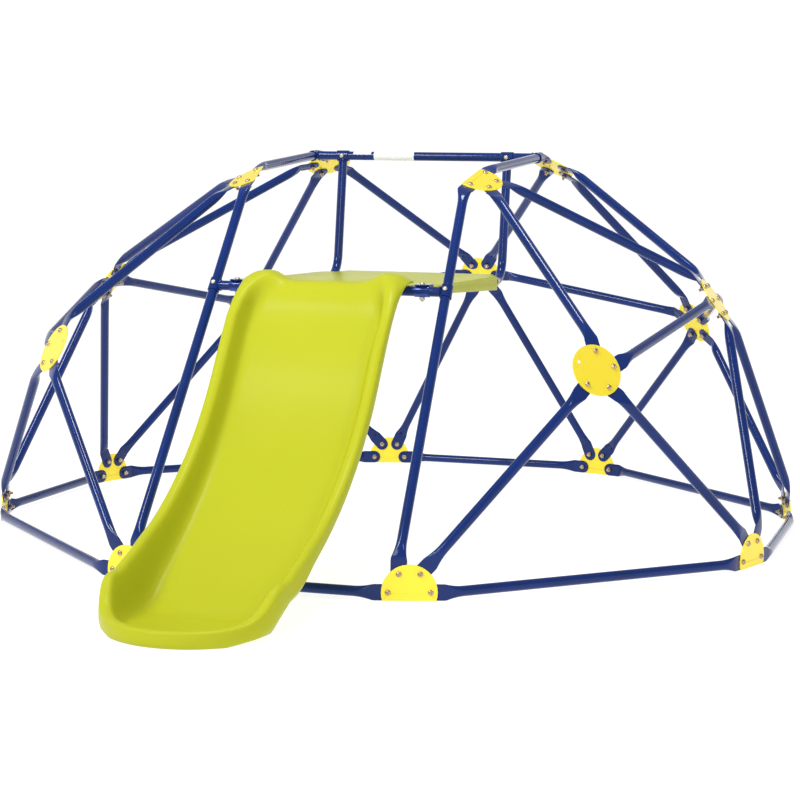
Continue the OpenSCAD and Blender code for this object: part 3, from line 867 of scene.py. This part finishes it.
def deck_outline():
    """The deck's plan, counter-clockwise from the middle of the front edge."""

    def arc(x, y, r):
        turn = [math.radians(a) for a in range(0, 91, 10)]
        return [(x - r + r * math.cos(a), y - r + r * math.sin(a)) for a in turn]

    notch_x, notch_y = DECK_NOTCH
    half = [(0.0, 0.0), (notch_x, 0.0), (notch_x, notch_y), (DECK_HALF, notch_y)]
    half += arc(DECK_HALF, DECK_NOSE, NOSE_ROUND) + [(DECK_TAIL_HALF, DECK_NOSE)]
    half += arc(DECK_TAIL_HALF, DECK_LEN, DECK_ROUND) + [(0.0, DECK_LEN)]
    points = []
    for a, b in zip(half, half[1:]):
        steps = max(1, int(math.dist(a, b) / OUTLINE_STEP))
        points += [vec(*a) + k / steps * (vec(*b) - vec(*a)) for k in range(steps)]
    points.append(vec(*half[-1]))
    left = [p * vec(-1, 1) for p in points[-2:0:-1]]
    return np.array(points + left)


def inward(outline):
    """Mitred inward offset per metre at each point of a counter-clockwise outline."""
    found = []
    count = len(outline)
    for i in range(count):
        into = unit(outline[i] - outline[i - 1])
        away = unit(outline[(i + 1) % count] - outline[i])
        a, b = vec(-into[1], into[0]), vec(-away[1], away[0])
        found.append((a + b) / (1 + a @ b))
    return np.array(found)


def skirt_depth(p):
    """Depth of the deck's side wall, which leaves room for the rails and for the slide's top."""
    x, y = abs(p[0]), p[1]
    over_rail = y > DECK_NOSE - SHOULDER_ROOM and abs(x - GRIP_X) < TUBE_R + RAIL_ROOM
    if y < FRONT_ROOM or over_rail:
        return SKIRT_SHORT
    return SKIRT_FRONT + (SKIRT_BACK - SKIRT_FRONT) * y / DECK_LEN


def make_deck():
    outline = deck_outline()
    inset = inward(outline)
    depth = np.array([skirt_depth(p) for p in outline])
    front = vec(0, DECK_FRONT, DECK_Z)
    along = vec(0, math.cos(DECK_FALL), -math.sin(DECK_FALL))
    over = vec(0, math.sin(DECK_FALL), math.cos(DECK_FALL))

    def place(x, y, z):
        return front + vec(x, 0, 0) + y * along + z * over

    def ring(inward_by, z):
        heights = np.broadcast_to(z, len(outline))
        return [place(*q, h) for q, h in zip(outline + inward_by * inset, heights)]

    rings = []
    for a in range(0, 91, 15):
        c, s = math.cos(math.radians(a)), math.sin(math.radians(a))
        rings.append(ring(DECK_EDGE * (1 - s), -DECK_EDGE * (1 - c)))
    for inward_by, up_by in SKIRT_EDGE:
        rings.append(ring(inward_by, -depth + up_by))
    rings.append(ring(DECK_SHEET, -DECK_SHEET - SHEET_FILLET))
    rings.append(ring(DECK_SHEET + SHEET_FILLET, -DECK_SHEET))
    shape = Shape()
    shape.rings(rings)
    for y in RIBS:
        back_y = y + DECK_SHEET
        plan = ((-RIB_HALF, y), (RIB_HALF, y), (RIB_HALF, back_y), (-RIB_HALF, back_y))
        shape.add([place(*q, z) for z in (RIB_TOP, RIB_FOOT) for q in plan], loft_faces(2, 4))
    piece("deck_moulding", shape, "lime_plastic", "deck", sharp_deg=40.0)


make_deck()


# ---------------------------------------------------------------- labels on the back bar

LABEL_OUTER_R = TUBE_R + 0.0003
LABEL_INNER_R = TUBE_R - 0.0001


def make_label(name, x_from, x_to, start, end):
    """A blank film wrapped round the back bar from angle start to end, 90 being the top."""
    turns = np.radians(np.linspace(start, end, 40))
    rows = []
    for x in np.linspace(x_from, x_to, 9):
        row = []
        for radius, order in ((LABEL_OUTER_R, turns), (LABEL_INNER_R, turns[::-1])):
            for a in order:
                row.append(vec(x, GRIP_Y - math.cos(a) * radius, GRIP_Z + math.sin(a) * radius))
        rows.append(row)
    shape = Shape()
    shape.rings(rows)
    piece(name, shape, "label")


make_label("label_short", -0.213, -0.159, 20, 150)
make_label("label_long", -0.150, -0.029, -80, 250)


# ---------------------------------------------------------------- camera, floor and light

# Where the camera stands round the dome's centre, in metres, and its lens in millimetres.
VIEW_AZIMUTH = math.radians(17.16)
VIEW_ELEVATION = math.radians(6.60)
VIEW_ROLL = math.radians(0.63)
VIEW_DISTANCE = 5.921
VIEW_HEIGHT = 0.340
LENS = 94.4
SENSOR = 36
SHIFT_X = 0.0016
# The floor: half its width, how far it lies under the model, its grey and its own glow.
FLOOR_HALF = 40.0
FLOOR_DROP = 0.0005
FLOOR_GREY = 0.32
FLOOR_GLOW = 0.86
# Each soft round lamp: place, size across and power. All of them point at one place.
LAMP_TARGET = (0, 0, 0.4)
LAMPS = {
    "key": ((-2.2, -3.8, 4.4), 1.9, 175),
    "top": ((0.2, -0.4, 4.8), 1.2, 80),
    "side": ((3.6, -3.0, 3.2), 0.9, 25),
    "fill": ((0.5, -5.2, 2.4), 1.2, 25),
}
# The world's ramp from the horizon up: height on the sky's ball, and how bright.
HORIZON = (0.16, 1.0)
OVERHEAD = (0.36, 0.45)
WORLD_STRENGTH = 1.05


def aim(obj, right, up, back, place):
    """Puts a camera or lamp at a place, looking away from back."""
    matrix = Matrix([(*row, 0) for row in np.array([right, up, back]).T] + [(0, 0, 0, 1)])
    matrix.translation = place
    obj.matrix_world = matrix


def make_camera():
    data = bpy.data.cameras.new("camera")
    camera = bpy.data.objects.new("camera", data)
    bpy.context.scene.collection.objects.link(camera)
    back = vec(
        math.sin(VIEW_AZIMUTH) * math.cos(VIEW_ELEVATION),
        -math.cos(VIEW_AZIMUTH) * math.cos(VIEW_ELEVATION),
        math.sin(VIEW_ELEVATION),
    )
    level = unit(np.cross(vec(0, 0, 1), back))
    over = np.cross(back, level)
    right = math.cos(VIEW_ROLL) * level + math.sin(VIEW_ROLL) * over
    up = np.cross(back, right)
    place = vec(DOME_CENTRE[0], DOME_CENTRE[1], VIEW_HEIGHT) + VIEW_DISTANCE * back
    aim(camera, right, up, back, place)
    data.lens = LENS
    data.sensor_width = SENSOR
    data.shift_x = SHIFT_X
    data.clip_end = 100
    bpy.context.scene.camera = camera


def make_floor():
    mesh = bpy.data.meshes.new("floor")
    plan = [(-1, -1), (1, -1), (1, 1), (-1, 1)]
    mesh.from_pydata([(FLOOR_HALF * x, FLOOR_HALF * y, 0) for x, y in plan], [], [(0, 1, 2, 3)])
    floor = bpy.data.objects.new("floor", mesh)
    bpy.context.scene.collection.objects.link(floor)
    white = principled("floor_white", grey(FLOOR_GREY), 0.9, specular=0.05)
    shader = shader_of(white)
    shader.inputs["Emission Color"].default_value = (1, 1, 1, 1)
    shader.inputs["Emission Strength"].default_value = FLOOR_GLOW
    mesh.materials.append(white)
    floor.location.z = -FLOOR_DROP


def make_lamp(name, place, size, power):
    data = bpy.data.lights.new(name, "AREA")
    data.shape = "DISK"
    data.size = size
    data.energy = power
    lamp = bpy.data.objects.new(name, data)
    bpy.context.scene.collection.objects.link(lamp)
    back = unit(vec(*place) - vec(*LAMP_TARGET))
    side = unit(np.cross(vec(0, 1, 0.01), back))
    aim(lamp, side, np.cross(back, side), back, place)


def make_world():
    """White round the horizon and darker above it, so that the paint keeps its depth."""
    world = bpy.data.worlds.new("studio")
    bpy.context.scene.world = world
    world.use_nodes = True
    tree = world.node_tree
    sky = tree.nodes["Background"]
    place = tree.nodes.new("ShaderNodeTexCoord")
    split = tree.nodes.new("ShaderNodeSeparateXYZ")
    ramp = tree.nodes.new("ShaderNodeValToRGB")
    for stop, (position, bright) in zip(ramp.color_ramp.elements, (HORIZON, OVERHEAD)):
        stop.position = position
        stop.color = (*grey(bright), 1)
    tree.links.new(place.outputs["Generated"], split.inputs["Vector"])
    tree.links.new(split.outputs["Z"], ramp.inputs["Fac"])
    tree.links.new(ramp.outputs["Color"], sky.inputs["Color"])
    sky.inputs["Strength"].default_value = WORLD_STRENGTH


make_camera()
make_floor()
make_world()
for lamp_name, lamp_values in LAMPS.items():
    make_lamp(lamp_name, *lamp_values)
bpy.context.scene.view_settings.view_transform = "Standard"
